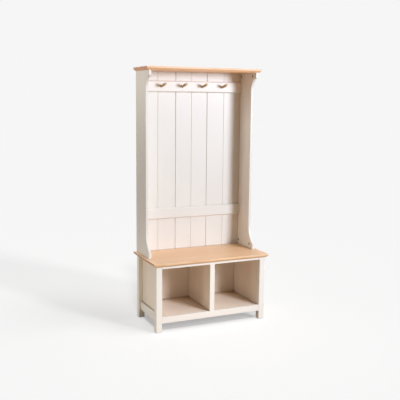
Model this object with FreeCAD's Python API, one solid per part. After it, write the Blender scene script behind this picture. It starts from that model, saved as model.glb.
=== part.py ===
import FreeCAD, Part
import math
import os

# Hall stand in two units. The bench has square legs, recessed end panels, two open cubbies and an
# oak seat. The hutch that stands on it has shaped sides, a boarded back, a lower rail, a hook rail
# with angled pegs and an oak top. Nothing on it moves.
# Millimetres, +Z up, the front faces -Y. The origin is on the floor, under the middle of the seat.

# Overall sizes
overall_height = 1850.0
seat_height = 500.0
seat_width = 900.0
seat_depth = 450.0

# Oak boards, undercut by a bevel along the front and both ends
seat_thickness = 25.0
seat_bevel = 13.0
top_thickness = 25.0
top_bevel = 13.0
top_end_overhang = 19.0
top_front_overhang = 17.0
oak_edge_round = 1.5

# Bench frame
side_overhang = 20.0
front_overhang = 18.0
rear_overhang = 22.0
leg_size = 43.0
leg_chamfer = 1.5
rail_clearance = 66.0
rail_thickness = 20.0
front_rail_height = 45.0
side_rail_height = 60.0
side_rail_recess = 13.0
stretcher_thickness = 16.0
stretcher_depth = 70.0
arris_chamfer = 1.0

# End panels, held by a tongue in the legs and the side rail, with a shadow line above the rail
end_panel_thickness = 15.0
panel_tongue_thickness = 6.0
panel_tongue_length = 8.0
shadow_line_height = 6.0
shadow_line_depth = 4.5

# Cubbies
shelf_thickness = 16.0
shelf_drop = 1.5
divider_thickness = 16.0
stile_width = 36.0
bench_back_thickness = 6.0
bench_back_lap = 25.0

# Leg glides
glide_height = 3.0
glide_diameter = 25.0
glide_pin_diameter = 5.0
glide_pin_length = 14.0

# Hutch sides: deep at the two noses, shallower between them, joined by hollow curves
hutch_inset = 24.0
side_thickness = 18.0
side_depth = 205.0
nose_depth = 275.0
top_nose_height = 36.0
top_curve_height = 84.0
bottom_nose_height = 40.0
bottom_curve_height = 135.0
side_chamfer = 1.5

# Back boards, tongued together and let into a groove in each side
back_inset = 16.0
back_thickness = 12.0
back_groove_depth = 8.0
centre_board_width = 256.0
board_tongue_thickness = 4.0
board_tongue_length = 6.0
board_joint_gap = 1.5
board_joint_chamfer = 3.0
vee_width = 5.0
vee_depth = 2.5

# Hutch rails
hutch_rail_height = 82.0
hutch_rail_thickness = 18.0
hutch_rail_chamfer = 7.0
hook_rail_drop = 65.0
lower_rail_rise = 239.0

# Pegs, turned with a slight flare and set into the hook rail at a tilt
peg_count = 4
peg_pitch = 163.0
peg_length = 78.0
peg_tilt_degrees = 13.0
peg_base_diameter = 17.0
peg_tip_diameter = 20.0
peg_end_chamfer = 2.0
peg_tenon_diameter = 10.0
peg_tenon_length = 13.0

# Cam locks and their bolts
cam_diameter = 15.0
cam_depth = 12.5
cam_face_thickness = 4.0
cam_slot_width = 2.0
cam_slot_length = 9.0
cam_slot_depth = 1.5
cam_reach_top = 24.0
cam_reach_bottom = 34.0
cam_rear_inset = 45.0
cam_front_inset = 53.0
bolt_thread_diameter = 6.0
bolt_thread_length = 12.0
bolt_shank_diameter = 5.0
bolt_head_diameter = 6.6
bolt_head_length = 3.0
bolt_window_width = 7.4

# Dowels
dowel_diameter = 8.0
dowel_length = 30.0
dowel_shallow = 10.0
dowel_spacing = 21.0

# Countersunk screws
seat_screw_length = 32.0
seat_screw_diameter = 4.5
seat_screw_head = 9.0
rail_screw_length = 22.0
rail_screw_diameter = 4.0
rail_screw_head = 8.0
back_screw_length = 18.0
back_screw_diameter = 3.0
back_screw_head = 6.0
back_screw_margin = 45.0

# Pilot holes for a wall strap in the rear edge of the top board
wall_hole_diameter = 3.5
wall_hole_depth = 20.0
wall_hole_spacing = 700.0

# Clearances and the overrun of cutting tools
fit_clearance = 0.15
end_clearance = 1.0
overrun = 2.0
match_tolerance = 0.01

# Levels above the floor
seat_underside = seat_height - seat_thickness
top_underside = overall_height - top_thickness
front_rail_top = rail_clearance + front_rail_height
side_rail_top = rail_clearance + side_rail_height
shelf_top = front_rail_top - shelf_drop
shelf_underside = shelf_top - shelf_thickness
stretcher_underside = seat_underside - stretcher_thickness
hook_rail_base = top_underside - hook_rail_drop - hutch_rail_height
lower_rail_base = seat_height + lower_rail_rise

# Planes from the front, which is -Y, to the wall
wall_plane = seat_depth / 2
seat_front = wall_plane - seat_depth
leg_front = seat_front + front_overhang
leg_rear = wall_plane - rear_overhang
front_leg_back = leg_front + leg_size
rear_leg_face = leg_rear - leg_size
frame_back = leg_front + rail_thickness
nose_front = wall_plane - nose_depth
waist_front = wall_plane - side_depth
boards_rear = wall_plane - back_inset
boards_front = boards_rear - back_thickness
rails_front = boards_front - hutch_rail_thickness

# Distances from the middle plane
leg_outer = seat_width / 2 - side_overhang
leg_inner = leg_outer - leg_size
hutch_outer = seat_width / 2 - hutch_inset
hutch_inner = hutch_outer - side_thickness
board_joint = centre_board_width / 2
side_middle = (hutch_inner + hutch_outer) / 2
panel_middle = leg_inner + end_panel_thickness / 2

X_AXIS = FreeCAD.Vector(1, 0, 0)
Y_AXIS = FreeCAD.Vector(0, 1, 0)
Z_AXIS = FreeCAD.Vector(0, 0, 1)
ORIGIN = FreeCAD.Vector(0, 0, 0)
SIDES = {"left": -1, "right": 1}


def point(x, y, z):
    return FreeCAD.Vector(x, y, z)


def block(x_range, y_range, z_range):
    """A box between two planes each way."""
    low = point(min(x_range), min(y_range), min(z_range))
    high = point(max(x_range), max(y_range), max(z_range))
    size = high - low
    return Part.makeBox(size.x, size.y, size.z, low)


def cylinder(diameter, start, direction, length):
    return Part.makeCylinder(diameter / 2, length, start, direction)


def prism(corners, sweep):
    """A flat outline swept along a straight line."""
    face = Part.Face(Part.makePolygon(corners + corners[:1]))
    return face.extrude(sweep)


def turned(profile, start, direction):
    """A body of revolution: the profile holds (radius, distance along the axis) pairs."""
    outline = [point(radius, 0, along) for radius, along in profile]
    face = Part.Face(Part.makePolygon(outline + outline[:1]))
    body = face.revolve(ORIGIN, Z_AXIS, 360)
    body.Placement = FreeCAD.Placement(start, FreeCAD.Rotation(Z_AXIS, direction))
    return body


def mirrored(shape):
    return shape.mirror(ORIGIN, X_AXIS)


def on_side(shape, side):
    """Pieces are drawn at the right end; the left one is its mirror image."""
    return shape if side > 0 else mirrored(shape)


def cut_all(shape, tools):
    return shape.cut(Part.makeCompound(tools)) if tools else shape


def level_edges(shape, level):
    """Edges that lie in one horizontal plane."""
    flat = []
    for edge in shape.Edges:
        if all(abs(v.Z - level) < match_tolerance for v in edge.Vertexes):
            flat.append(edge)
    return flat


def dowel_place(joint, direction, sunk):
    """Where a dowel starts, given the joint face it crosses and how deep it sinks behind it."""
    return joint - direction * sunk, direction


def dowel(place):
    start, direction = place
    return cylinder(dowel_diameter, start, direction, dowel_length)


def dowel_hole(place):
    start, direction = place
    bore = dowel_diameter + 2 * fit_clearance
    return cylinder(bore, start - direction * end_clearance, direction, dowel_length + 2 * end_clearance)


def screw_shape(start, direction, length, diameter, head, growth):
    """A countersunk screw from its head face; with growth it is the hole that the screw sits in."""
    shank = diameter / 2 + growth
    cone = (head - diameter) / 2
    profile = [
        (0, 0),
        (head / 2 + growth, 0),
        (shank, cone),
        (shank, length + growth),
        (0, length + growth),
    ]
    return turned(profile, start, direction)


def screws_and_holes(places, direction, length, diameter, head):
    screws = [screw_shape(p, direction, length, diameter, head, 0) for p in places]
    holes = [screw_shape(p, direction, length, diameter, head, fit_clearance) for p in places]
    return screws, holes


def undercut_board(half_width, front, rear, base, thickness, bevel):
    """A board whose front and ends are bevelled back underneath, with the upper edges eased."""
    land_level = base + bevel
    x_full = (-half_width, half_width)
    land = block(x_full, (front, rear), (land_level, base + thickness))
    outlines = []
    for level, inset in ((base, bevel), (land_level, 0)):
        end = half_width - inset
        corners = [
            point(-end, front + inset, level),
            point(end, front + inset, level),
            point(end, rear, level),
            point(-end, rear, level),
        ]
        outlines.append(Part.makePolygon(corners + corners[:1]))
    board = land.fuse(Part.makeLoft(outlines, True, True)).removeSplitter()
    upper = level_edges(board, base + thickness)
    eased = [e for e in upper if min(v.Y for v in e.Vertexes) < rear - match_tolerance]
    return board.makeFillet(oak_edge_round, eased)


# Dowel places in the bench, with the joint face that each one crosses

def end_pair(side, y_places, z_places, half_length, depth):
    """Dowels across a joint between the end of a rail and the leg or panel beyond it."""
    direction = X_AXIS * side
    places = []
    for y in y_places:
        for z in z_places:
            places.append(dowel_place(point(side * half_length, y, z), direction, depth))
    return places


def spread(middle):
    return (middle - dowel_spacing / 2, middle + dowel_spacing / 2)


rail_middle_y = leg_front + rail_thickness / 2
rear_rail_middle_y = leg_rear - rail_thickness / 2
front_rail_middle = rail_clearance + front_rail_height / 2
side_rail_middle = rail_clearance + side_rail_height / 2
rear_rail_middle = (rail_clearance + shelf_underside) / 2
stretcher_middle = stretcher_underside + stretcher_thickness / 2
shelf_middle = shelf_underside + shelf_thickness / 2
half_dowel = dowel_length / 2

front_rail_dowels = []
rear_rail_dowels = []
stretcher_dowels = []
shelf_dowels = []
side_rail_dowels = []
solid_leg_widths = (
    (leg_front, front_leg_back - panel_tongue_length),
    (rear_leg_face + panel_tongue_length, leg_rear),
)
shelf_thirds = [frame_back + (leg_rear - frame_back) * k / 3 for k in (1, 2)]
for side in SIDES.values():
    front_rail_dowels += end_pair(side, [rail_middle_y], spread(front_rail_middle), leg_inner, half_dowel)
    rear_rail_dowels += end_pair(side, [rear_rail_middle_y], [rear_rail_middle], leg_inner, half_dowel)
    for near, far in solid_leg_widths:
        quarters = [near + (far - near) * k / 4 for k in (1, 3)]
        stretcher_dowels += end_pair(side, quarters, [stretcher_middle], leg_inner, half_dowel)
    shelf_dowels += end_pair(side, shelf_thirds, [shelf_middle], leg_inner, half_dowel)
    rail_x = side * (leg_inner + (leg_size - side_rail_recess) / 2)
    for z in spread(side_rail_middle):
        side_rail_dowels.append(dowel_place(point(rail_x, front_leg_back, z), Y_AXIS, half_dowel))
        side_rail_dowels.append(dowel_place(point(rail_x, rear_leg_face, z), Y_AXIS, half_dowel))

stile_dowels = []
for x in (-stile_width / 4, stile_width / 4):
    stile_dowels.append(dowel_place(point(x, rail_middle_y, front_rail_top), Z_AXIS, half_dowel))
    stile_dowels.append(dowel_place(point(x, rail_middle_y, stretcher_underside), -Z_AXIS, dowel_shallow))

bench_dowel_places = front_rail_dowels + rear_rail_dowels + stretcher_dowels
bench_dowel_places += shelf_dowels + side_rail_dowels + stile_dowels
bench_dowel_holes = [dowel_hole(p) for p in bench_dowel_places]
side_rail_holes = [dowel_hole(p) for p in side_rail_dowels + shelf_dowels]

# Rows across the depth of the hutch sides where cam locks and dowels join them to seat and top
cam_rows = (wall_plane - cam_rear_inset, nose_front + cam_front_inset)
side_dowel_rows = [cam_rows[0] + (cam_rows[1] - cam_rows[0]) * k / 3 for k in (1, 2)]

side_dowel_places = []
rail_dowel_places = []
for side in SIDES.values():
    for y in side_dowel_rows:
        foot = point(side * side_middle, y, seat_height)
        head = point(side * side_middle, y, top_underside)
        side_dowel_places.append(dowel_place(foot, Z_AXIS, dowel_shallow))
        side_dowel_places.append(dowel_place(head, -Z_AXIS, dowel_shallow))
    for base in (hook_rail_base, lower_rail_base):
        joint = point(side * hutch_inner, (boards_front + rails_front) / 2, base + hutch_rail_height / 2)
        rail_dowel_places.append(dowel_place(joint, X_AXIS * -side, dowel_shallow))
hutch_dowel_places = side_dowel_places + rail_dowel_places
hutch_dowel_holes = [dowel_hole(p) for p in hutch_dowel_places]

# Screw places
seat_screw_places = []
for y in ((leg_front + stretcher_depth / 2), (leg_rear - stretcher_depth / 2)):
    for x in (-leg_inner / 2, leg_inner / 2):
        seat_screw_places.append(point(x, y, stretcher_underside))
seat_screws, seat_screw_holes = screws_and_holes(
    seat_screw_places, Z_AXIS, seat_screw_length, seat_screw_diameter, seat_screw_head)

outer_board_show = hutch_inner - board_joint
rail_screw_places = []
for base in (hook_rail_base, lower_rail_base):
    low = base + hutch_rail_height / 4
    high = base + hutch_rail_height * 3 / 4
    for side in SIDES.values():
        rail_screw_places.append(point(side * board_joint / 2, boards_rear, low))
        rail_screw_places.append(point(side * (board_joint + outer_board_show / 4), boards_rear, high))
        rail_screw_places.append(point(side * (hutch_inner - outer_board_show / 4), boards_rear, low))
rail_screws, rail_screw_holes = screws_and_holes(
    rail_screw_places, -Y_AXIS, rail_screw_length, rail_screw_diameter, rail_screw_head)

bench_back_rear = leg_rear + bench_back_thickness
back_screw_places = []
back_screw_levels = (rail_clearance + back_screw_margin, seat_underside - back_screw_margin)
for side in SIDES.values():
    for z in back_screw_levels + (sum(back_screw_levels) / 2,):
        back_screw_places.append(point(side * (leg_inner + bench_back_lap / 2), bench_back_rear, z))
    for z in (rear_rail_middle, stretcher_middle):
        back_screw_places.append(point(side * leg_inner / 2, bench_back_rear, z))
back_screws, back_screw_holes = screws_and_holes(
    back_screw_places, -Y_AXIS, back_screw_length, back_screw_diameter, back_screw_head)


# Bench

def panel_groove(y_range, z_range):
    """The slot for an end panel's tongue, at the right end."""
    half = panel_tongue_thickness / 2 + fit_clearance
    return block((panel_middle - half, panel_middle + half), y_range, z_range)


def glide_pin_hole(x, y):
    bore = glide_pin_diameter + 2 * fit_clearance
    return cylinder(bore, point(x, y, 0), Z_AXIS, glide_height + glide_pin_length + end_clearance)


leg_middles_y = {"front": (leg_front + front_leg_back) / 2, "rear": (rear_leg_face + leg_rear) / 2}
leg_middle_x = (leg_inner + leg_outer) / 2


def leg(row, side):
    """A square leg with eased corners, grooved for the end panel and bored for dowels and screws."""
    front, rear = (leg_front, front_leg_back) if row == "front" else (rear_leg_face, leg_rear)
    body = block((leg_inner, leg_outer), (front, rear), (glide_height, seat_underside))
    upright = [e for e in body.Edges if abs(e.Vertexes[0].Z - e.Vertexes[1].Z) > leg_size]
    body = body.makeChamfer(leg_chamfer, upright)
    reach = panel_tongue_length + fit_clearance
    groove_y = (rear - reach, rear + overrun) if row == "front" else (front - overrun, front + reach)
    groove_z = (side_rail_top - panel_tongue_length, seat_underside + overrun)
    tools = [panel_groove(groove_y, groove_z), glide_pin_hole(leg_middle_x, leg_middles_y[row])]
    body = on_side(body.cut(Part.makeCompound(tools)), side)
    return cut_all(body, bench_dowel_holes + back_screw_holes)


def side_rail(side):
    """The deep rail at the bottom of an end, grooved along its top for the end panel."""
    y_range = (front_leg_back, rear_leg_face)
    body = block((leg_inner, leg_outer - side_rail_recess), y_range, (rail_clearance, side_rail_top))
    outer = [e for e in body.Edges if all(v.X > leg_outer - side_rail_recess - match_tolerance
                                          for v in e.Vertexes)]
    long_edges = [e for e in outer if e.Length > side_rail_height + match_tolerance]
    body = body.makeChamfer(arris_chamfer, long_edges)
    depth = panel_tongue_length + fit_clearance
    groove = panel_groove((front_leg_back - overrun, rear_leg_face + overrun),
                          (side_rail_top - depth, side_rail_top + overrun))
    return cut_all(on_side(body.cut(groove), side), side_rail_holes)


def end_panel(side):
    """A panel flush with the inside of the legs, with tongues on three edges and a shadow line."""
    panel_outer = leg_inner + end_panel_thickness
    field = block((leg_inner, panel_outer), (front_leg_back, rear_leg_face), (side_rail_top, seat_underside))
    half = panel_tongue_thickness / 2
    tongue_x = (panel_middle - half, panel_middle + half)
    tongue_y = (front_leg_back - panel_tongue_length, rear_leg_face + panel_tongue_length)
    upright_tongue = block(tongue_x, tongue_y, (side_rail_top + fit_clearance, seat_underside))
    lower_tongue = block(tongue_x, (front_leg_back + fit_clearance, rear_leg_face - fit_clearance),
                         (side_rail_top - panel_tongue_length, seat_underside))
    shadow_line = block((panel_outer - shadow_line_depth, panel_outer + overrun),
                        (front_leg_back - overrun, rear_leg_face + overrun),
                        (side_rail_top - overrun, side_rail_top + shadow_line_height))
    panel = field.cut(shadow_line).multiFuse([upright_tongue, lower_tongue]).removeSplitter()
    return on_side(panel, side)


def cross_rail(y_range, z_range):
    """A rail, stretcher or shelf across the bench, as long as the gap between its legs."""
    return block((-leg_inner, leg_inner), y_range, z_range)


def front_bottom_rail():
    rail = cross_rail((leg_front, frame_back), (rail_clearance, front_rail_top))
    front = [e for e in rail.Edges if all(v.Y < leg_front + match_tolerance for v in e.Vertexes)]
    long_edges = [e for e in front if e.Length > front_rail_height + match_tolerance]
    rail = rail.makeChamfer(arris_chamfer, long_edges)
    return cut_all(rail, bench_dowel_holes)


def rear_bottom_rail():
    rail = cross_rail((leg_rear - rail_thickness, leg_rear), (rail_clearance, shelf_underside))
    return cut_all(rail, bench_dowel_holes + back_screw_holes)


def stretcher(y_range):
    rail = cross_rail(y_range, (stretcher_underside, seat_underside))
    return cut_all(rail, bench_dowel_holes + seat_screw_holes + back_screw_holes)


def base_shelf():
    shelf = cross_rail((frame_back, leg_rear), (shelf_underside, shelf_top))
    return cut_all(shelf, bench_dowel_holes)


def divider_stile():
    """The upright on the front edge of the divider, grooved behind for the divider's tongue."""
    half = stile_width / 2
    stile = block((-half, half), (leg_front, frame_back), (front_rail_top, stretcher_underside))
    tongue_half = panel_tongue_thickness / 2 + fit_clearance
    depth = panel_tongue_length + fit_clearance
    groove = block((-tongue_half, tongue_half), (frame_back - depth, frame_back + overrun),
                   (front_rail_top - overrun, stretcher_underside + overrun))
    return cut_all(stile, [groove] + bench_dowel_holes)


def divider_panel():
    """The wall between the cubbies, notched round both stretchers and tongued into its stile."""
    half = divider_thickness / 2
    panel = block((-half, half), (frame_back, leg_rear), (shelf_top, seat_underside))
    notch_z = (stretcher_underside, seat_underside + overrun)
    notches = [
        block((-leg_inner, leg_inner), (leg_front, leg_front + stretcher_depth), notch_z),
        block((-leg_inner, leg_inner), (leg_rear - stretcher_depth, leg_rear + overrun), notch_z),
    ]
    tongue_half = panel_tongue_thickness / 2
    tongue = block((-tongue_half, tongue_half), (frame_back - panel_tongue_length, frame_back + overrun),
                   (front_rail_top + fit_clearance, stretcher_underside))
    return cut_all(panel, notches).fuse(tongue).removeSplitter()


def bench_back():
    half = leg_inner + bench_back_lap
    board = block((-half, half), (leg_rear, bench_back_rear), (rail_clearance, seat_underside))
    return cut_all(board, back_screw_holes)


def glide(x, y):
    """A round foot pad with the pin that drives it into the leg."""
    pad = cylinder(glide_diameter, point(x, y, 0), Z_AXIS, glide_height)
    rim = level_edges(pad, 0)
    pad = pad.makeChamfer(glide_height / 3, rim)
    pin = cylinder(glide_pin_diameter, point(x, y, glide_height), Z_AXIS, glide_pin_length)
    return pad.fuse(pin)


def seat_board():
    board = undercut_board(seat_width / 2, seat_front, wall_plane, seat_underside, seat_thickness, seat_bevel)
    return cut_all(board, seat_screw_holes + hutch_dowel_holes + bolt_holes)


# Hutch

def cam_places():
    """Each cam lock's centre with the level of the joint it pulls on, at the right side."""
    places = []
    for y in cam_rows:
        places.append((y, top_underside - cam_reach_top, top_underside))
        places.append((y, seat_height + cam_reach_bottom, seat_height))
    return places


def cam_lock(y, level, joint_level, side):
    """A round lock in the inner face, open towards the joint for the bolt's head, slotted to turn."""
    toward = math.copysign(1, joint_level - level)
    body = cylinder(cam_diameter, point(hutch_inner, y, level), X_AXIS, cam_depth)
    half = bolt_window_width / 2
    window_x = (hutch_inner + cam_face_thickness, hutch_inner + cam_depth + overrun)
    window_z = (level - toward * half, level + toward * cam_diameter)
    window = block(window_x, (y - half, y + half), window_z)
    long_half = cam_slot_length / 2
    thin_half = cam_slot_width / 2
    slot_x = (hutch_inner - overrun, hutch_inner + cam_slot_depth)
    slots = [
        block(slot_x, (y - long_half, y + long_half), (level - thin_half, level + thin_half)),
        block(slot_x, (y - thin_half, y + thin_half), (level - long_half, level + long_half)),
    ]
    return on_side(cut_all(body, [window] + slots), side)


def bolt_profile(reach, growth):
    """Thread below the joint, shank above it and the head that the cam catches."""
    thread = bolt_thread_diameter / 2 + growth
    shank = bolt_shank_diameter / 2
    head = bolt_head_diameter / 2
    tip = reach + bolt_head_length / 2
    return [
        (0, -bolt_thread_length - growth),
        (thread, -bolt_thread_length - growth),
        (thread, 0),
        (shank, 0),
        (shank, tip - bolt_head_length),
        (head, tip - bolt_head_length),
        (head, tip),
        (0, tip),
    ]


def cam_bolt(y, level, joint_level, side):
    direction = Z_AXIS * math.copysign(1, level - joint_level)
    profile = bolt_profile(abs(level - joint_level), 0)
    return turned(profile, point(side * side_middle, y, joint_level), direction)


def bolt_hole(y, level, joint_level, side):
    """The thread's hole in the seat or top and the bore along the side panel's end, in one."""
    direction = Z_AXIS * math.copysign(1, level - joint_level)
    start = point(side * side_middle, y, joint_level)
    thread = bolt_thread_diameter + 2 * fit_clearance
    bore = bolt_head_diameter + 2 * fit_clearance
    screwed = cylinder(thread, start, -direction, bolt_thread_length + end_clearance)
    passing = cylinder(bore, start, direction, abs(level - joint_level))
    return screwed.fuse(passing)


cam_sets = [place + (side,) for side in SIDES.values() for place in cam_places()]
bolt_holes = [bolt_hole(*cam) for cam in cam_sets]


def cam_holes():
    bore = cam_diameter + 2 * fit_clearance
    depth = cam_depth + fit_clearance
    holes = []
    for y, level, joint_level, side in cam_sets:
        start = point(side * hutch_inner, y, level)
        holes.append(cylinder(bore, start, X_AXIS * side, depth))
    return holes


def hollow_curve(nose_level, waist_level):
    """A circular hollow from the front of a nose, running tangent into the upright front edge."""
    reach = waist_front - nose_front
    height = waist_level - nose_level
    radius = (reach ** 2 + height ** 2) / (2 * reach)
    half_turn = math.atan2(reach, height)
    middle_y = waist_front - radius * (1 - math.cos(half_turn))
    middle_z = waist_level - radius * math.sin(half_turn)
    return (middle_y, middle_z)


def side_outline():
    """The side's outline in its own plane, from the bottom rear corner round by the front."""
    low_nose = seat_height + bottom_nose_height
    low_waist = low_nose + bottom_curve_height
    high_nose = top_underside - top_nose_height
    high_waist = high_nose - top_curve_height
    corners = [
        (wall_plane, seat_height),
        (nose_front, seat_height),
        (nose_front, low_nose),
        (waist_front, low_waist),
        (waist_front, high_waist),
        (nose_front, high_nose),
        (nose_front, top_underside),
        (wall_plane, top_underside),
    ]
    lower_middle = hollow_curve(low_nose, low_waist)
    upper_y, upper_drop = hollow_curve(0, top_curve_height)
    upper_middle = (upper_y, high_nose - upper_drop)
    curves = {2: lower_middle, 4: upper_middle}
    edges = []
    spots = [point(hutch_inner, y, z) for y, z in corners]
    for index, start in enumerate(spots):
        end = spots[(index + 1) % len(spots)]
        if index in curves:
            middle = point(hutch_inner, *curves[index])
            edges.append(Part.Arc(start, middle, end).toShape())
        else:
            edges.append(Part.LineSegment(start, end).toShape())
    return Part.Wire(edges)


def hutch_side(side):
    """A shaped side with an eased front, a groove for the back boards and the bores for its fittings."""
    body = Part.Face(side_outline()).extrude(X_AXIS * side_thickness)
    front = []
    for edge in body.Edges:
        ends = edge.Vertexes
        lengthwise = abs(ends[0].X - ends[1].X) < match_tolerance
        rises = abs(ends[0].Z - ends[1].Z) > match_tolerance
        forward = all(v.Y < waist_front + match_tolerance for v in ends)
        if lengthwise and rises and forward:
            front.append(edge)
    body = body.makeChamfer(side_chamfer, front)
    groove = block((hutch_inner - overrun, hutch_inner + back_groove_depth),
                   (boards_front - fit_clearance, boards_rear + fit_clearance),
                   (seat_height - overrun, top_underside + overrun))
    body = on_side(body.cut(groove), side)
    return cut_all(body, cam_holes() + bolt_holes + hutch_dowel_holes)


def board_between(corners):
    """A back board: its outline in plan, swept from the seat to the top."""
    outline = [point(x, y, seat_height) for x, y in corners]
    return prism(outline, Z_AXIS * (top_underside - seat_height))


def vee(middle):
    """The groove down the face of a back board."""
    return [
        (middle - vee_width / 2, boards_front),
        (middle, boards_front + vee_depth),
        (middle + vee_width / 2, boards_front),
    ]


boards_middle = (boards_front + boards_rear) / 2


def outer_back_board(side):
    """A board from the side's groove to the joint, where it is grooved for the centre board's tongue."""
    near = board_joint + board_joint_gap / 2
    far = hutch_inner + back_groove_depth - fit_clearance
    slot_half = board_tongue_thickness / 2 + fit_clearance
    slot_end = near + board_tongue_length
    corners = [(near + board_joint_chamfer, boards_front)]
    corners += vee((board_joint + hutch_inner) / 2)
    corners += [
        (far, boards_front),
        (far, boards_rear),
        (near, boards_rear),
        (near, boards_middle + slot_half),
        (slot_end, boards_middle + slot_half),
        (slot_end, boards_middle - slot_half),
        (near, boards_middle - slot_half),
        (near, boards_front + board_joint_chamfer),
    ]
    return cut_all(on_side(board_between(corners), side), rail_screw_holes)


def centre_back_board():
    """The middle board, with a tongue along both edges."""
    edge = board_joint - board_joint_gap / 2
    tip = edge + board_tongue_length
    half = board_tongue_thickness / 2
    right = [
        (edge - board_joint_chamfer, boards_front),
        (edge, boards_front + board_joint_chamfer),
        (edge, boards_middle - half),
        (tip, boards_middle - half),
        (tip, boards_middle + half),
        (edge, boards_middle + half),
        (edge, boards_rear),
    ]
    left = [(-x, y) for x, y in reversed(right)]
    return cut_all(board_between(vee(0) + right + left), rail_screw_holes)


def hutch_rail(base):
    """A rail across the hutch in front of the boards, with both front edges eased."""
    top = base + hutch_rail_height
    outline = [
        point(-hutch_inner, boards_front, base),
        point(-hutch_inner, rails_front + hutch_rail_chamfer, base),
        point(-hutch_inner, rails_front, base + hutch_rail_chamfer),
        point(-hutch_inner, rails_front, top - hutch_rail_chamfer),
        point(-hutch_inner, rails_front + hutch_rail_chamfer, top),
        point(-hutch_inner, boards_front, top),
    ]
    rail = prism(outline, X_AXIS * (2 * hutch_inner))
    return cut_all(rail, [dowel_hole(p) for p in rail_dowel_places] + rail_screw_holes)


tilt = math.radians(peg_tilt_degrees)
peg_direction = point(0, -math.cos(tilt), math.sin(tilt))
peg_level = hook_rail_base + hutch_rail_height / 2


def peg_places():
    first = -(peg_count - 1) / 2
    return [point((first + k) * peg_pitch, rails_front, peg_level) for k in range(peg_count)]


def peg(place):
    """A turned peg with a flared, eased end, cut flush with the rail it is tenoned into."""
    base = peg_base_diameter / 2
    tip = peg_tip_diameter / 2
    profile = [
        (0, -base),
        (base, -base),
        (base, 0),
        (tip, peg_length - peg_end_chamfer),
        (tip - peg_end_chamfer, peg_length),
        (0, peg_length),
    ]
    body = turned(profile, place, peg_direction)
    span = (place.x - peg_pitch, place.x + peg_pitch)
    behind = block(span, (rails_front, boards_rear), (hook_rail_base, hook_rail_base + hutch_rail_height))
    tenon = cylinder(peg_tenon_diameter, place - peg_direction * peg_tenon_length, peg_direction,
                     peg_tenon_length + peg_base_diameter)
    return body.cut(behind).fuse(tenon).removeSplitter()


def hook_rail():
    bore = peg_tenon_diameter + 2 * fit_clearance
    depth = peg_tenon_length + end_clearance
    holes = []
    for place in peg_places():
        start = place - peg_direction * depth
        holes.append(cylinder(bore, start, peg_direction, depth + peg_base_diameter))
    return cut_all(hutch_rail(hook_rail_base), holes)


def top_board():
    front = nose_front - top_front_overhang
    board = undercut_board(hutch_outer + top_end_overhang, front, wall_plane, top_underside, top_thickness,
                           top_bevel)
    strap_level = top_underside + top_thickness / 2
    strap_holes = []
    for x in (-wall_hole_spacing / 2, wall_hole_spacing / 2):
        mouth = point(x, wall_plane, strap_level)
        strap_holes.append(cylinder(wall_hole_diameter, mouth, -Y_AXIS, wall_hole_depth))
    return cut_all(board, strap_holes + hutch_dowel_holes + bolt_holes)


# All pieces by name

nodes = {}
for row in ("front", "rear"):
    for name, side in SIDES.items():
        nodes[row + "_" + name + "_leg"] = leg(row, side)
for name, side in SIDES.items():
    nodes[name + "_side_rail"] = side_rail(side)
    nodes[name + "_end_panel"] = end_panel(side)
    nodes[name + "_hutch_side"] = hutch_side(side)
    nodes[name + "_back_board"] = outer_back_board(side)
nodes["front_bottom_rail"] = front_bottom_rail()
nodes["rear_bottom_rail"] = rear_bottom_rail()
nodes["front_stretcher"] = stretcher((leg_front, leg_front + stretcher_depth))
nodes["rear_stretcher"] = stretcher((leg_rear - stretcher_depth, leg_rear))
nodes["base_shelf"] = base_shelf()
nodes["divider_stile"] = divider_stile()
nodes["divider_panel"] = divider_panel()
nodes["bench_back"] = bench_back()
nodes["seat_board"] = seat_board()
nodes["centre_back_board"] = centre_back_board()
nodes["hook_rail"] = hook_rail()
nodes["lower_rail"] = hutch_rail(lower_rail_base)
for number, place in enumerate(peg_places(), start=1):
    nodes["coat_peg_" + str(number)] = peg(place)
nodes["top_board"] = top_board()

glide_places = [(side * leg_middle_x, y) for side in SIDES.values() for y in leg_middles_y.values()]
groups = {
    "leg_glides": [glide(x, y) for x, y in glide_places],
    "bench_dowels": [dowel(p) for p in bench_dowel_places],
    "hutch_dowels": [dowel(p) for p in hutch_dowel_places],
    "cam_locks": [cam_lock(*cam) for cam in cam_sets],
    "cam_bolts": [cam_bolt(*cam) for cam in cam_sets],
    "seat_screws": seat_screws,
    "rail_screws": rail_screws,
    "bench_back_screws": back_screws,
}
for name, solids in groups.items():
    nodes[name] = Part.makeCompound(solids)

os.makedirs("parts", exist_ok=True)
for name, shape in nodes.items():
    shape.exportStep("parts/" + name + ".step")
    print(name, "solids", len(shape.Solids), "valid", shape.isValid(), "volume", round(shape.Volume))
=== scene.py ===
# %% [markdown]
# # A painted hall stand with an oak seat
# The stand is a bench with two open cubbies, and a tall hutch with a boarded back, a rail of
# wooden pegs and an oak top. Its solids come ready made as a fixed frame, in metres, with the
# floor at zero and the front facing -Y. This lesson gives each surface its finish, then sets up
# the light and the camera of a plain studio picture.

# %% Load the solids
import math
import bpy
from mathutils import Matrix, Vector

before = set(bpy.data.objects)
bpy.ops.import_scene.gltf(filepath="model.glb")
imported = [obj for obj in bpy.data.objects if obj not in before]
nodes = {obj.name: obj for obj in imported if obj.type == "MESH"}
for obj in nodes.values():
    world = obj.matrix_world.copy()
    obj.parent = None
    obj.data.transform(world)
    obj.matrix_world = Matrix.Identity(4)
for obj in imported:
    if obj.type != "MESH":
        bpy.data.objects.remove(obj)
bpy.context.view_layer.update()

# %% [markdown]
# ## The camera
# The picture was taken from the left at the eye level of someone standing, with a slightly long
# lens, five metres from the stand. A constraint could aim the camera, but it would keep the horizon
# level, and the picture is rolled a little. A camera in Blender looks along its own -Z, so its
# matrix has the picture's right, its up and the reverse of the line of sight as columns. Three
# angles give all of them: the turn to the side, the tilt down and the roll.

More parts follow.
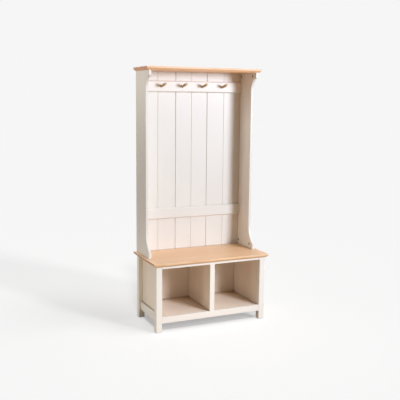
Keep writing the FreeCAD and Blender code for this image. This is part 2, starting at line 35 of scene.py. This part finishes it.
# %% Set the camera
PICTURE_SIDE = 400
FOCAL_PIXELS = 660.8
SENSOR_WIDTH = 36.0
FARTHEST = 200.0
CAMERA_PLACE = (-1.99082, -4.37477, 1.62694)
turn = math.radians(24.35)
tilt = math.radians(8.65)
roll = math.radians(0.60)
sight = Vector((math.sin(turn) * math.cos(tilt), math.cos(turn) * math.cos(tilt), -math.sin(tilt)))
level_right = Vector((math.cos(turn), -math.sin(turn), 0.0))
level_up = level_right.cross(sight)
right = level_right * math.cos(roll) + level_up * math.sin(roll)
up = level_up * math.cos(roll) - level_right * math.sin(roll)
camera_data = bpy.data.cameras.new("studio_camera")
camera_data.sensor_fit = "HORIZONTAL"
camera_data.sensor_width = SENSOR_WIDTH
camera_data.lens = FOCAL_PIXELS * SENSOR_WIDTH / PICTURE_SIDE
camera_data.clip_end = FARTHEST
camera = bpy.data.objects.new("studio_camera", camera_data)
facing = Matrix((right, up, -sight)).transposed().to_4x4()
camera.matrix_world = Matrix.Translation(CAMERA_PLACE) @ facing
bpy.context.scene.collection.objects.link(camera)
bpy.context.scene.camera = camera
print("lens:", round(camera_data.lens, 2), "mm")

# %% [markdown]
# ## Helpers for materials
# A finish is a small tree of nodes. One helper adds a node and fills its inputs by name, from a plain
# value or from the output of another node. The others are arithmetic on masks and colours, written
# with the first one, so that each later line reads as one step of the finish.

# %% Node helpers
def place(tree, kind, values=None, **settings):
    """Adds one node. Values fill its inputs; a socket as a value becomes a link."""
    made = tree.nodes.new(kind)
    for key, value in settings.items():
        setattr(made, key, value)
    for key, value in (values or {}).items():
        if isinstance(value, bpy.types.NodeSocket):
            tree.links.new(value, made.inputs[key])
        else:
            made.inputs[key].default_value = value
    return made


def maths(tree, operation, *values, clamp=False):
    inputs = dict(enumerate(values))
    return place(tree, "ShaderNodeMath", inputs, operation=operation, use_clamp=clamp).outputs[0]


def vector_maths(tree, operation, *values):
    return place(tree, "ShaderNodeVectorMath", dict(enumerate(values)), operation=operation).outputs[0]


def weighed(tree, *parts, clamp=False):
    """The sum of some masks, each times its weight."""
    shares = [maths(tree, "MULTIPLY", mask, weight) for mask, weight in parts]
    total = shares[0]
    for share in shares[1:]:
        total = maths(tree, "ADD", total, share, clamp=clamp)
    return total


def ramp(tree, value, start, gain):
    """A mask that rises from zero at the start, and stops at one."""
    return maths(tree, "MULTIPLY", maths(tree, "SUBTRACT", value, start), gain, clamp=True)


print("number helpers ready")

# %% [markdown]
# ## Helpers for colour and grain
# Colours are written as they are read off a picture, while a shader takes linear ones, so one helper
# turns the first into the second. Wood and paint are both made of noise that is longer one way than
# the other. An effect that several finishes share becomes a node group, which is built once and then
# placed in each material with its own values.

# %% Colour, noise and group helpers
VALUE = "NodeSocketFloat"
VECTOR = "NodeSocketVector"


def srgb(red, green, blue):
    """A colour as read off a picture, from 0 to 255, as the linear colour that a shader takes."""
    return tuple(((c / 255 + 0.055) / 1.055) ** 2.4 for c in (red, green, blue)) + (1.0,)


def tinted(colour, red, green, blue):
    """A colour with each of its channels made weaker or stronger."""
    return tuple(min(1.0, c * k) for c, k in zip(colour, (red, green, blue))) + (1.0,)


def mix_colours(tree, factor, first, second):
    values = {0: factor, 6: first, 7: second}
    return place(tree, "ShaderNodeMix", values, data_type="RGBA").outputs[2]


def lay_over(tree, base, colour, mask, strength):
    """Lays a colour over the base where a mask says so."""
    return mix_colours(tree, maths(tree, "MULTIPLY", mask, strength), base, colour)


def stretched_noise(tree, vector, stretch, detail=2.0, distortion=0.0):
    """Noise whose features are longer one way than the other, as in wood."""
    longer = vector_maths(tree, "MULTIPLY", vector, stretch)
    values = {"Vector": longer, "Scale": 1.0, "Detail": detail, "Distortion": distortion}
    return place(tree, "ShaderNodeTexNoise", values).outputs["Fac"]


def start_group(name, inputs, outputs):
    """An empty node group with the sockets that it takes in and puts out."""
    group = bpy.data.node_groups.new(name, "ShaderNodeTree")
    for socket, kind in inputs:
        group.interface.new_socket(socket, in_out="INPUT", socket_type=kind)
    for socket, kind in outputs:
        group.interface.new_socket(socket, in_out="OUTPUT", socket_type=kind)
    taken = group.nodes.new("NodeGroupInput").outputs
    given = group.nodes.new("NodeGroupOutput").inputs
    return group, taken, given


def use_group(tree, group, values):
    return place(tree, "ShaderNodeGroup", values, node_tree=group).outputs


print("colour helpers ready")

# %% [markdown]
# ## Edges
# No edge of a painted or lacquered board is truly sharp: paint pulls back from it and hands polish
# it. The main bevels are in the solids already, and these finer ones could be a bevel modifier. The
# bevel node leaves the mesh alone: it rounds the normal close to an edge, and the angle between the
# rounded and the flat normal shows how near the edge is. All the finishes use this, so it is a group.

# %% The edge group
EDGE_SAMPLES = 6
EDGE_GAIN = 4.0
edges, taken, given = start_group(
    "Rounded Edges", [("Radius", VALUE)], [("Normal", VECTOR), ("Edge", VALUE)])
rounded = place(edges, "ShaderNodeBevel", {"Radius": taken["Radius"]}, samples=EDGE_SAMPLES)
flat = place(edges, "ShaderNodeNewGeometry")
near = place(edges, "ShaderNodeVectorMath", {0: rounded.outputs[0], 1: flat.outputs["Normal"]},
             operation="DOT_PRODUCT")
away = maths(edges, "SUBTRACT", 1.0, near.outputs["Value"])
edges.links.new(rounded.outputs[0], given["Normal"])
edges.links.new(maths(edges, "MULTIPLY", away, EDGE_GAIN, clamp=True), given["Edge"])
print("group:", edges.name)

# %% [markdown]
# ## Creases
# Where two boards meet, little light gets in, so the joint reads as a fine dark line. Here that shade
# is painted into the colour. Such lines could be painted by hand, piece by piece. Ambient occlusion over
# a short reach finds the places on all the pieces at once. It is a mask here, which each finish uses to
# darken its own colour as painted shade.

# %% The crease group
CREASE_SAMPLES = 8
CREASE_GAIN = 2.6
CREASE_OFFSET = -0.7
creases, taken, given = start_group("Creases", [("Reach", VALUE)], [("Crease", VALUE)])
openness = place(creases, "ShaderNodeAmbientOcclusion", {"Distance": taken["Reach"]}, samples=CREASE_SAMPLES)
shut = maths(creases, "SUBTRACT", 1.0, openness.outputs["AO"])
crease = maths(creases, "MULTIPLY_ADD", shut, CREASE_GAIN, CREASE_OFFSET, clamp=True)
creases.links.new(crease, given["Crease"])
print("group:", creases.name)

# %% [markdown]
# ## Oak
# The seat and the top are glued up from long staves of oak. Each stave has its own tone and its own
# run of growth rings, fine fibres and short dark pores. A picture of oak would show its seams at the
# corners, while noise in the space of the board runs through it as real grain does. The group takes
# a place in metres, with the grain along its X, and puts out one mask for each of these.

# %% The oak group
STAVE_SHIFT = (4.0, 0.6, 0.6)
RING_WANDER = (1.5, 11.0, 11.0)
RINGS_PER_METRE, RINGS_ASIDE, RING_SHARPNESS = 520.0, 26.0, 2.2
FIBRES_PER_METRE = (14.0, 700.0, 700.0)
SPECKS_PER_METRE = (70.0, 1500.0, 1500.0)
PORE_START, PORE_GAIN = 0.60, 9.0
PORES_IN_RINGS, PORES_BETWEEN = 0.8, 0.2
HALF = 0.5
SEAM_START, SEAM_GAIN = 0.4955, 300.0
oak, taken, given = start_group(
    "Oak Grain",
    [("Place", VECTOR), ("Stave Width", VALUE), ("Seed", VALUE)],
    [("Rings", VALUE), ("Fibre", VALUE), ("Pores", VALUE), ("Stave", VALUE), ("Seam", VALUE)])
across = place(oak, "ShaderNodeSeparateXYZ", {0: taken["Place"]}).outputs["Y"]
count = maths(oak, "DIVIDE", across, taken["Stave Width"])
stave = maths(oak, "ADD", maths(oak, "FLOOR", count), taken["Seed"])
chance = place(oak, "ShaderNodeTexWhiteNoise", {"W": stave}, noise_dimensions="1D")
shift = vector_maths(oak, "MULTIPLY", chance.outputs["Color"], STAVE_SHIFT)
spot = vector_maths(oak, "ADD", taken["Place"], shift)
wander = stretched_noise(oak, spot, RING_WANDER, detail=2.5)
run = place(oak, "ShaderNodeSeparateXYZ", {0: spot}).outputs["Y"]
phase = weighed(oak, (run, RINGS_PER_METRE), (wander, RINGS_ASIDE))
wave = maths(oak, "MULTIPLY_ADD", maths(oak, "SINE", phase), HALF, HALF)
rings = maths(oak, "POWER", wave, RING_SHARPNESS)
fibre = stretched_noise(oak, spot, FIBRES_PER_METRE, detail=3.0)
speck = stretched_noise(oak, spot, SPECKS_PER_METRE, detail=1.0)
pore = ramp(oak, speck, PORE_START, PORE_GAIN)
porous = maths(oak, "MULTIPLY", pore, maths(oak, "MULTIPLY_ADD", rings, PORES_IN_RINGS, PORES_BETWEEN))
gap = maths(oak, "ABSOLUTE", maths(oak, "SUBTRACT", maths(oak, "FRACT", count), HALF))
seam = ramp(oak, gap, SEAM_START, SEAM_GAIN)
for mask, socket in ((rings, "Rings"), (fibre, "Fibre"), (porous, "Pores"),
                     (chance.outputs["Value"], "Stave"), (seam, "Seam")):
    oak.links.new(mask, given[socket])
print("group:", oak.name)

# %% [markdown]
# ## Paint
# The cream paint is sprayed on smooth boards, so it is nearly even. Close to, it has the faint
# stipple of the gun, a breath of the grain below it and a slow change of tone from board to board.
# One flat colour would look like plastic, so the group gives a weak mask for each of the three.

# %% The paint group
TONES_PER_METRE = (2.0, 5.0, 5.0)
GRAIN_PER_METRE = (9.0, 260.0, 260.0)
STIPPLE_PER_METRE = (420.0, 420.0, 420.0)
paint, taken, given = start_group(
    "Sprayed Paint",
    [("Place", VECTOR), ("Piece", VALUE)],
    [("Tone", VALUE), ("Grain", VALUE), ("Stipple", VALUE)])
drift = vector_maths(paint, "ADD", taken["Place"], taken["Piece"])
tone = stretched_noise(paint, drift, TONES_PER_METRE, detail=2.0)
grain = stretched_noise(paint, drift, GRAIN_PER_METRE, detail=3.0, distortion=0.2)
stipple = stretched_noise(paint, drift, STIPPLE_PER_METRE, detail=2.0)
for mask, socket in ((tone, "Tone"), (grain, "Grain"), (stipple, "Stipple")):
    paint.links.new(mask, given[socket])
print("group:", paint.name)

# %% [markdown]
# ## The materials
# Every material starts from the same principled shader. The grain has to run along each board. Every
# board could be unwrapped for that, but turning the place in object space, until the board's length
# lies along X, needs no unwrapping and keeps the grain to scale.

# %% Shared start of a material
PEG_TILT = 13.0
ALONG_X = (0.0, 0.0, 0.0)
ALONG_Y = (0.0, 0.0, math.radians(-90.0))
ALONG_Z = (0.0, math.radians(90.0), 0.0)
ALONG_PEG = (math.radians(PEG_TILT), 0.0, math.radians(-90.0))


def start_material(name, turned):
    """A material with a plain principled shader, and the place on the piece turned along its grain."""
    material = bpy.data.materials.new(name)
    material.use_nodes = True
    tree = material.node_tree
    shader = tree.nodes["Principled BSDF"]
    here = place(tree, "ShaderNodeTexCoord").outputs["Object"]
    along = place(tree, "ShaderNodeMapping", {"Vector": here, "Rotation": turned}).outputs[0]
    return material, tree, shader, along


def add_bump(tree, shader, height, normal, depth):
    """Fine relief on top of the rounded edges; depth is in metres."""
    values = {"Height": height, "Normal": normal, "Distance": depth, "Strength": 1.0}
    tree.links.new(place(tree, "ShaderNodeBump", values).outputs[0], shader.inputs["Normal"])


print("material start ready")

# %% [markdown]
# ## Painting the boards
# Fresh paint has one colour. After some years its tone drifts a little and its edges are worn paler
# and smoother. Its corners and joints are darkened too, as painted shade where little light gets in.
# Each of these is laid over the one before, so that a mask and a colour are all that a layer needs.
# The shine is between satin and matt.

# %% The paint recipe
PAINT_EDGE = 0.0012
PAINT_DEEP = (0.965, 0.955, 0.94)
PAINT_WORN = (1.02, 1.015, 1.0)
TONE_GAIN, TONE_OFFSET = 1.6, -0.3
# Painted shade in corners: how far it reaches, how strong it is and its tint.
CORNER_REACH, CORNER_SHADE, CORNER_SHADE_TINT = 0.016, 0.45, (0.42, 0.35, 0.28)
PAINT_ROUGHNESS, STIPPLE_ROUGHNESS, EDGE_POLISH = 0.345, 0.10, 0.06
PAINT_IOR = 1.48
GRAIN_RELIEF, STIPPLE_RELIEF, PAINT_RELIEF = 0.7, 0.3, 0.00012


def cream_paint(name, turned, colour, reach=CORNER_REACH, shade_strength=CORNER_SHADE, shade_tint=CORNER_SHADE_TINT):
    material, tree, shader, along = start_material(name, turned)
    piece = place(tree, "ShaderNodeObjectInfo").outputs["Random"]
    film = use_group(tree, paint, {"Place": along, "Piece": piece})
    edge = use_group(tree, edges, {"Radius": PAINT_EDGE})
    corner = use_group(tree, creases, {"Reach": reach})["Crease"]
    spread = maths(tree, "MULTIPLY_ADD", film["Tone"], TONE_GAIN, TONE_OFFSET, clamp=True)
    base = mix_colours(tree, spread, colour, tinted(colour, *PAINT_DEEP))
    base = mix_colours(tree, edge["Edge"], base, tinted(colour, *PAINT_WORN))
    # Painted shade: the colour is darkened towards the shade tint in the corners and joints that the crease
    # mask finds.
    base = lay_over(tree, base, tinted(colour, *shade_tint), corner, shade_strength)
    tree.links.new(base, shader.inputs["Base Color"])
    sheen = maths(tree, "MULTIPLY_ADD", film["Stipple"], STIPPLE_ROUGHNESS, PAINT_ROUGHNESS)
    polish = maths(tree, "MULTIPLY", edge["Edge"], EDGE_POLISH)
    tree.links.new(maths(tree, "SUBTRACT", sheen, polish), shader.inputs["Roughness"])
    shader.inputs["IOR"].default_value = PAINT_IOR
    relief = weighed(tree, (film["Grain"], GRAIN_RELIEF), (film["Stipple"], STIPPLE_RELIEF))
    add_bump(tree, shader, relief, edge["Normal"], PAINT_RELIEF)
    return material


print("paint recipe ready")

# %% [markdown]
# ## Lacquering the oak
# The seat, the top and the pegs are oak under a clear satin lacquer. The masks of the oak group mix a
# light and a dark tone, then pores and glue lines go over it, and corners are darkened as painted shade.
# The recipe also turns the normal as it turns the place: a face that points along the grain is end
# grain, which gets a colour of its own. On the seat and the top it drinks more lacquer and is darker and
# redder; on the pegs it is paler, a painted highlight on the ends that face the light. A second board
# could be modelled for the ends, but the one normal tells them apart.

# %% The oak recipe
OAK_EDGE = 0.0015
RING_SHARE, FIBRE_SHARE, STAVE_SHARE = 0.42, 0.36, 0.22
PORE_TINT, PORE_STRENGTH, SEAM_STRENGTH = (0.45, 0.45, 0.45), 0.45, 0.5
END_START, END_GAIN, END_STRENGTH = 0.55, 4.0, 0.85
POLISH_TINT, POLISH_STRENGTH = (1.06, 1.06, 1.06), 0.5
# Painted shade in the oak's corners: how far it reaches, how strong it is and its tint.
OAK_REACH, OAK_SHADE, OAK_SHADE_TINT = 0.025, 0.75, (0.25, 0.25, 0.25)
OAK_ROUGHNESS, FIBRE_ROUGHNESS, PORE_ROUGHNESS = 0.36, 0.14, 0.2
OAK_IOR = 1.5
FIBRE_RELIEF, PORE_RELIEF, OAK_RELIEF = 0.4, -0.6, 0.00010


def lacquered_oak(name, turned, light, dark, end_grain_and_highlight, stave_width, seed):
    material, tree, shader, along = start_material(name, turned)
    wood = use_group(tree, oak, {"Place": along, "Stave Width": stave_width, "Seed": seed})
    edge = use_group(tree, edges, {"Radius": OAK_EDGE})
    corner = use_group(tree, creases, {"Reach": OAK_REACH})["Crease"]
    shade = weighed(tree, (wood["Rings"], RING_SHARE), (wood["Fibre"], FIBRE_SHARE),
                    (wood["Stave"], STAVE_SHARE), clamp=True)
    base = mix_colours(tree, shade, light, dark)
    pore = tinted(dark, *PORE_TINT)
    base = lay_over(tree, base, pore, wood["Pores"], PORE_STRENGTH)
    base = lay_over(tree, base, pore, wood["Seam"], SEAM_STRENGTH)
    face = place(tree, "ShaderNodeNewGeometry").outputs["Normal"]
    values = {"Vector": face, "Rotation": turned}
    facing = place(tree, "ShaderNodeMapping", values, vector_type="VECTOR").outputs[0]
    lengthwise = maths(tree, "ABSOLUTE", place(tree, "ShaderNodeSeparateXYZ", {0: facing}).outputs["X"])
    base = lay_over(tree, base, end_grain_and_highlight, ramp(tree, lengthwise, END_START, END_GAIN), END_STRENGTH)
    base = lay_over(tree, base, tinted(light, *POLISH_TINT), edge["Edge"], POLISH_STRENGTH)
    # Painted shade: the oak is darkened in its corners, such as where the sides stand on the seat.
    base = lay_over(tree, base, tinted(dark, *OAK_SHADE_TINT), corner, OAK_SHADE)
    tree.links.new(base, shader.inputs["Base Color"])
    sheen = maths(tree, "MULTIPLY_ADD", wood["Fibre"], FIBRE_ROUGHNESS, OAK_ROUGHNESS)
    rough = maths(tree, "MULTIPLY_ADD", wood["Pores"], PORE_ROUGHNESS, sheen)
    tree.links.new(rough, shader.inputs["Roughness"])
    shader.inputs["IOR"].default_value = OAK_IOR
    sunk = weighed(tree, (wood["Fibre"], FIBRE_RELIEF), (wood["Pores"], PORE_RELIEF))
    add_bump(tree, shader, maths(tree, "SUBTRACT", sunk, wood["Seam"]), edge["Normal"], OAK_RELIEF)
    return material


print("oak recipe ready")

# %% [markdown]
# ## Metal, dowels and plastic
# Screws, bolts and cam locks are zinc, a soft grey metal with a crystalline bloom. The cam locks are
# made much darker, as painted shade for the dark holes they sit in. The dowels are bare beech with small
# flecks. The glides under the legs are moulded plastic with a dull, slightly scuffed skin. All are small,
# so one noise does for each, and one recipe does for all three: the noise mixes two colours and drives
# the shine and the relief.

# %% The recipe for small pieces
def small_piece(name, first, second, noise, detail, roughness, rounding, relief, metallic=0.0):
    material, tree, shader, along = start_material(name, ALONG_X)
    bloom = stretched_noise(tree, along, noise, detail=detail)
    edge = use_group(tree, edges, {"Radius": rounding})
    lowest, spread = roughness
    tree.links.new(mix_colours(tree, bloom, first, second), shader.inputs["Base Color"])
    tree.links.new(maths(tree, "MULTIPLY_ADD", bloom, spread, lowest), shader.inputs["Roughness"])
    shader.inputs["Metallic"].default_value = metallic
    add_bump(tree, shader, bloom, edge["Normal"], relief)
    return material


def zinc(name, colour):
    return small_piece(name, colour, tinted(colour, 0.6, 0.6, 0.6), noise=(900.0, 900.0, 900.0), detail=3.0,
                       roughness=(0.28, 0.3), rounding=0.0004, relief=0.00003, metallic=1.0)


def bare_beech(name, light, dark):
    return small_piece(name, light, dark, noise=(300.0, 900.0, 900.0), detail=2.0,
                       roughness=(0.6, 0.2), rounding=0.0005, relief=0.00005)


def moulded_plastic(name, colour):
    return small_piece(name, colour, tinted(colour, 1.5, 1.5, 1.5), noise=(260.0, 260.0, 260.0), detail=4.0,
                       roughness=(0.45, 0.3), rounding=0.0006, relief=0.00005)


print("small recipes ready")

# %% [markdown]
# ## The finishes
# The recipes now get their colours. The thin panels of the bench are coated board, a little warmer
# than the sprayed frame. On the shelf the crease shade reaches further and is browner, so that painted
# shade lies along its walls. A material has one direction of grain, so the cream paint is made once for
# each direction that a board can run in.

# %% Mix the finishes
cream = srgb(240, 232, 223)
panel_cream = srgb(239, 223, 206)
shelf_cream = srgb(247, 232, 217)
finishes = {
    "cream along x": cream_paint("cream paint along x", ALONG_X, cream),
    "cream along y": cream_paint("cream paint along y", ALONG_Y, cream),
    "cream along z": cream_paint("cream paint along z", ALONG_Z, cream),
    # The shelf's darker, browner band along its walls is painted shade.
    "shelf paint": cream_paint(
        "shelf paint", ALONG_X, shelf_cream, reach=0.14, shade_strength=1.0, shade_tint=(0.40, 0.27, 0.16)),
    "panel along x": cream_paint("panel paint along x", ALONG_X, panel_cream),
    "panel along z": cream_paint("panel paint along z", ALONG_Z, panel_cream),
    "seat oak": lacquered_oak(
        "seat oak", ALONG_X, light=srgb(241, 202, 163), dark=srgb(225, 177, 129),
        end_grain_and_highlight=srgb(208, 144, 99), stave_width=0.090, seed=3.0),
    "top oak": lacquered_oak(
        "top oak", ALONG_X, light=srgb(254, 206, 164), dark=srgb(242, 182, 134),
        end_grain_and_highlight=srgb(196, 132, 93), stave_width=0.073, seed=11.0),
    # The peg ends are paler than the peg: a painted highlight where the ends face the light.
    "peg oak": lacquered_oak(
        "peg oak", ALONG_PEG, light=srgb(207, 175, 123), dark=srgb(178, 141, 91),
        end_grain_and_highlight=srgb(214, 184, 142), stave_width=0.5, seed=7.0),
    "zinc": zinc("zinc", srgb(150, 146, 140)),
    # The cam locks are darkened as painted shade for the holes they sit in.
    "dark zinc": zinc("dark zinc", srgb(48, 43, 38)),
    "beech": bare_beech("bare beech", srgb(216, 184, 142), srgb(190, 150, 104)),
    "plastic": moulded_plastic("glide plastic", srgb(92, 84, 74)),
}
print("finishes:", len(finishes))

# %% [markdown]
# ## Dressing the pieces
# Rails and stretchers run along X, legs, boards and sides along Z, and the side rails of the bench
# from front to back along Y. Materials could be assigned by hand, but a table from piece to finish
# shows them all at a glance, and what it doesn't name is painted upright.

# %% Assign the finishes
ACROSS = [
    "front_bottom_rail", "rear_bottom_rail", "front_stretcher", "rear_stretcher", "hook_rail", "lower_rail"]
DEEP = ["left_side_rail", "right_side_rail"]
worn_by = {
    "seat_board": "seat oak", "top_board": "top oak", "leg_glides": "plastic",
    "bench_dowels": "beech", "hutch_dowels": "beech", "cam_locks": "dark zinc", "cam_bolts": "zinc",
    "seat_screws": "zinc", "rail_screws": "zinc", "bench_back_screws": "zinc",
    "base_shelf": "shelf paint", "bench_back": "panel along x", "divider_panel": "panel along z",
    "left_end_panel": "panel along z", "right_end_panel": "panel along z",
}
worn_by.update({name: "peg oak" for name in nodes if name.startswith("coat_peg")})
worn_by.update({name: "cream along x" for name in ACROSS})
worn_by.update({name: "cream along y" for name in DEEP})
for name, piece in nodes.items():
    piece.data.materials.clear()
    piece.data.materials.append(finishes[worn_by.get(name, "cream along z")])
print("dressed:", len(nodes), "pieces")

# %% [markdown]
# ## The light
# The key lamp is a round softbox five metres away, to the right of the camera and a little higher
# than the stand. So it meets the top at a low angle and the bench at a steeper one, and it throws
# the right side's shadow on to the boards. Three spots with soft rims lift what it leaves dim: the
# inside of the cubbies, and the lower and the upper part of the outer face on the left. One strong
# lamp would be simpler, but its shadows would be hard and black, and each of these can be changed
# alone.

# %% Key and spots
KEY_PLACE = Vector((2.36, -4.63, 2.26))
KEY_AIM = Vector((0.0, 0.0, 1.1))
KEY_STRENGTH = 231.0
KEY_COLOUR = (0.876, 0.998, 1.160)
KEY_SIZE = 1.75
SPOT_SIZE = 0.35
SPOTS = [  # name, place, aim, width of the cone in degrees, strength, colour
    ("bench spot", (1.15, -2.75, 1.95), (-0.14, -0.20, 0.14), 26.0, 115.0, (1.13, 0.98, 0.87)),
    ("low side spot", (-2.60, -0.90, 0.50), (-0.45, 0.00, 0.22), 22.0, 80.0, (0.99, 1.04, 0.96)),
    ("high side spot", (-3.20, -0.30, 2.60), (-0.45, 0.10, 1.80), 18.0, 114.0, (0.99, 1.02, 1.01)),
]
scene = bpy.context.scene
scene.view_settings.view_transform = "Standard"


def add_lamp(name, kind, toward, strength, colour):
    """A lamp of some kind that shines in a direction."""
    data = bpy.data.lights.new(name, kind)
    data.energy = strength
    data.color = colour
    lamp = bpy.data.objects.new(name, data)
    lamp.rotation_euler = toward.to_track_quat("-Z", "Y").to_euler()
    scene.collection.objects.link(lamp)
    return lamp


key = add_lamp("key", "AREA", KEY_AIM - KEY_PLACE, KEY_STRENGTH, KEY_COLOUR)
key.location = KEY_PLACE
key.data.shape = "DISK"
key.data.size = KEY_SIZE
key.visible_camera = False
stand_lamps = [key]
for name, spot_place, aim, cone, strength, colour in SPOTS:
    lamp = add_lamp(name, "SPOT", Vector(aim) - Vector(spot_place), strength, colour)
    lamp.location = spot_place
    lamp.data.spot_size = math.radians(cone)
    lamp.data.spot_blend = 1.0
    lamp.data.shadow_soft_size = SPOT_SIZE
    stand_lamps.append(lamp)
print("lamps near the stand:", [lamp.name for lamp in stand_lamps])

# %% [markdown]
# ## Distant lamps
# Lamps far away fill in: high on the right for the seat, low on the left, and behind, so that the
# back can be looked at too. A sun lamp stands for a big soft panel here, because its spread sets how
# soft the shadows are and its light is the same everywhere. The floor has three of its own, which
# give it the shadows of the stand.

# %% Suns
WHITE = (1.0, 1.0, 1.0)
FOR_STAND = [  # name, side, height and spread in degrees, strength, colour
    ("high", 62.0, 57.0, 42.0, 1.12, (1.01, 0.99, 0.99)),
    ("left", -97.0, 9.0, 40.0, 0.74, (0.94, 1.00, 1.05)),
    ("back", 180.0, 28.0, 30.0, 2.20, (0.98, 1.00, 1.02)),
]
FOR_FLOOR = [
    ("floor front", -20.0, 50.0, 12.0, 1.80, WHITE),
    ("floor side", 32.0, 25.0, 9.0, 1.00, WHITE),
    ("floor high", 62.0, 58.0, 30.0, 0.95, WHITE),
]


def add_sun(name, side, height, spread, strength, colour):
    a, e = math.radians(side), math.radians(height)
    source = Vector((math.sin(a) * math.cos(e), -math.cos(a) * math.cos(e), math.sin(e)))
    sun = add_lamp(name, "SUN", -source, strength, colour)
    sun.data.angle = math.radians(spread)
    return sun


stand_lamps += [add_sun(*values) for values in FOR_STAND]
floor_lamps = [add_sun(*values) for values in FOR_FLOOR]

# %% [markdown]
# ## The background
# The picture has an even pale background. A white wall would need light of its own. Instead, the
# world shows the background's colour to rays that carry a picture, and to all other rays it is a
# weak warm dome, which fills the shade.

# %% World
BACKGROUND = srgb(246, 246, 246)
DOME = (1.0, 0.68, 0.40, 1.0)
DOME_STRENGTH = 0.045


def seen_rays(tree):
    """One for rays that carry a picture: straight to the camera, mirrored or through glass."""
    rays = place(tree, "ShaderNodeLightPath").outputs
    mirrored = maths(tree, "MAXIMUM", rays["Is Camera Ray"], rays["Is Glossy Ray"])
    return maths(tree, "MAXIMUM", mirrored, rays["Is Transmission Ray"])


world = bpy.data.worlds.new("studio")
scene.world = world
world.use_nodes = True
sky = world.node_tree
sky.nodes.clear()
dome = place(sky, "ShaderNodeBackground", {"Color": DOME, "Strength": DOME_STRENGTH})
shown = place(sky, "ShaderNodeBackground", {"Color": BACKGROUND, "Strength": 1.0})
choice = place(sky, "ShaderNodeMixShader", {0: seen_rays(sky), 1: dome.outputs[0], 2: shown.outputs[0]})
sky.links.new(choice.outputs[0], place(sky, "ShaderNodeOutputWorld").inputs["Surface"])
print("world:", world.name)

# %% [markdown]
# ## The floor
# The stand is on pale paper that runs into the background. To the camera the paper also glows by as
# much as its lamps leave between its own tone and the background, so that the two meet without a
# line, and the shadows stay. Light that bounces from it on to the stand meets a darker and warmer
# floor instead, which gives the shade under the seat its warm tone.

# %% Floor
FLOOR_SIZE = 80.0
PAPER = 0.60
BOUNCE = (0.42, 0.32, 0.20, 1.0)
lit = [DOME[c] * DOME_STRENGTH for c in range(3)]
for _, _, height, _, strength, colour in FOR_FLOOR:
    share = strength / math.pi * math.sin(math.radians(height))
    lit = [lit[c] + share * colour[c] for c in range(3)]
missing = tuple(BACKGROUND[c] - PAPER * lit[c] for c in range(3)) + (1.0,)

bpy.ops.mesh.primitive_plane_add(size=FLOOR_SIZE, location=(0.0, 0.0, 0.0))
floor = bpy.context.object
floor.name = "studio_floor"
paper = bpy.data.materials.new("studio paper")
paper.use_nodes = True
tree = paper.node_tree
tree.nodes.clear()
matt = place(tree, "ShaderNodeBsdfDiffuse", {"Color": (PAPER, PAPER, PAPER, 1.0)})
glow = place(tree, "ShaderNodeEmission", {"Color": missing, "Strength": 1.0})
both = place(tree, "ShaderNodeAddShader", {0: matt.outputs[0], 1: glow.outputs[0]})
dull = place(tree, "ShaderNodeBsdfDiffuse", {"Color": BOUNCE})
choice = place(tree, "ShaderNodeMixShader", {0: seen_rays(tree), 1: dull.outputs[0], 2: both.outputs[0]})
tree.links.new(choice.outputs[0], place(tree, "ShaderNodeOutputMaterial").inputs["Surface"])
floor.data.materials.append(paper)
print("floor:", floor.name, "glow:", [round(c, 3) for c in missing[:3]])

# %% [markdown]
# ## Flags
# In a studio, black cards called flags keep a lamp's light off what it shouldn't reach. Light linking
# does the same without cards that could be seen. The stand's lamps are kept off the paper and the
# paper's lamps off the stand. The bench spot is kept off the hutch, and the low side spot off the
# seat, whose undercut edge stays dark.

# %% Link the lamps
OVER_SEAT = 0.505


def link_lamp(lamp, state, pieces):
    """Keeps a lamp's light off some pieces, or on them alone."""
    linked = bpy.data.collections.new(lamp.name + " " + state.lower())
    for piece in pieces:
        linked.objects.link(piece)
    for row in linked.collection_objects:
        row.light_linking.link_state = state
    lamp.light_linking.receiver_collection = linked


hutch = [piece for piece in nodes.values()
         if max((piece.matrix_world @ Vector(corner)).z for corner in piece.bound_box) > OVER_SEAT]
flagged = {"bench spot": hutch, "low side spot": [nodes["seat_board"]]}
for lamp in stand_lamps:
    link_lamp(lamp, "EXCLUDE", [floor] + flagged.get(lamp.name, []))
for lamp in floor_lamps:
    link_lamp(lamp, "INCLUDE", [floor])
print("pieces kept out of the bench spot:", len(hutch))

# %% Finish
print("scene ready")
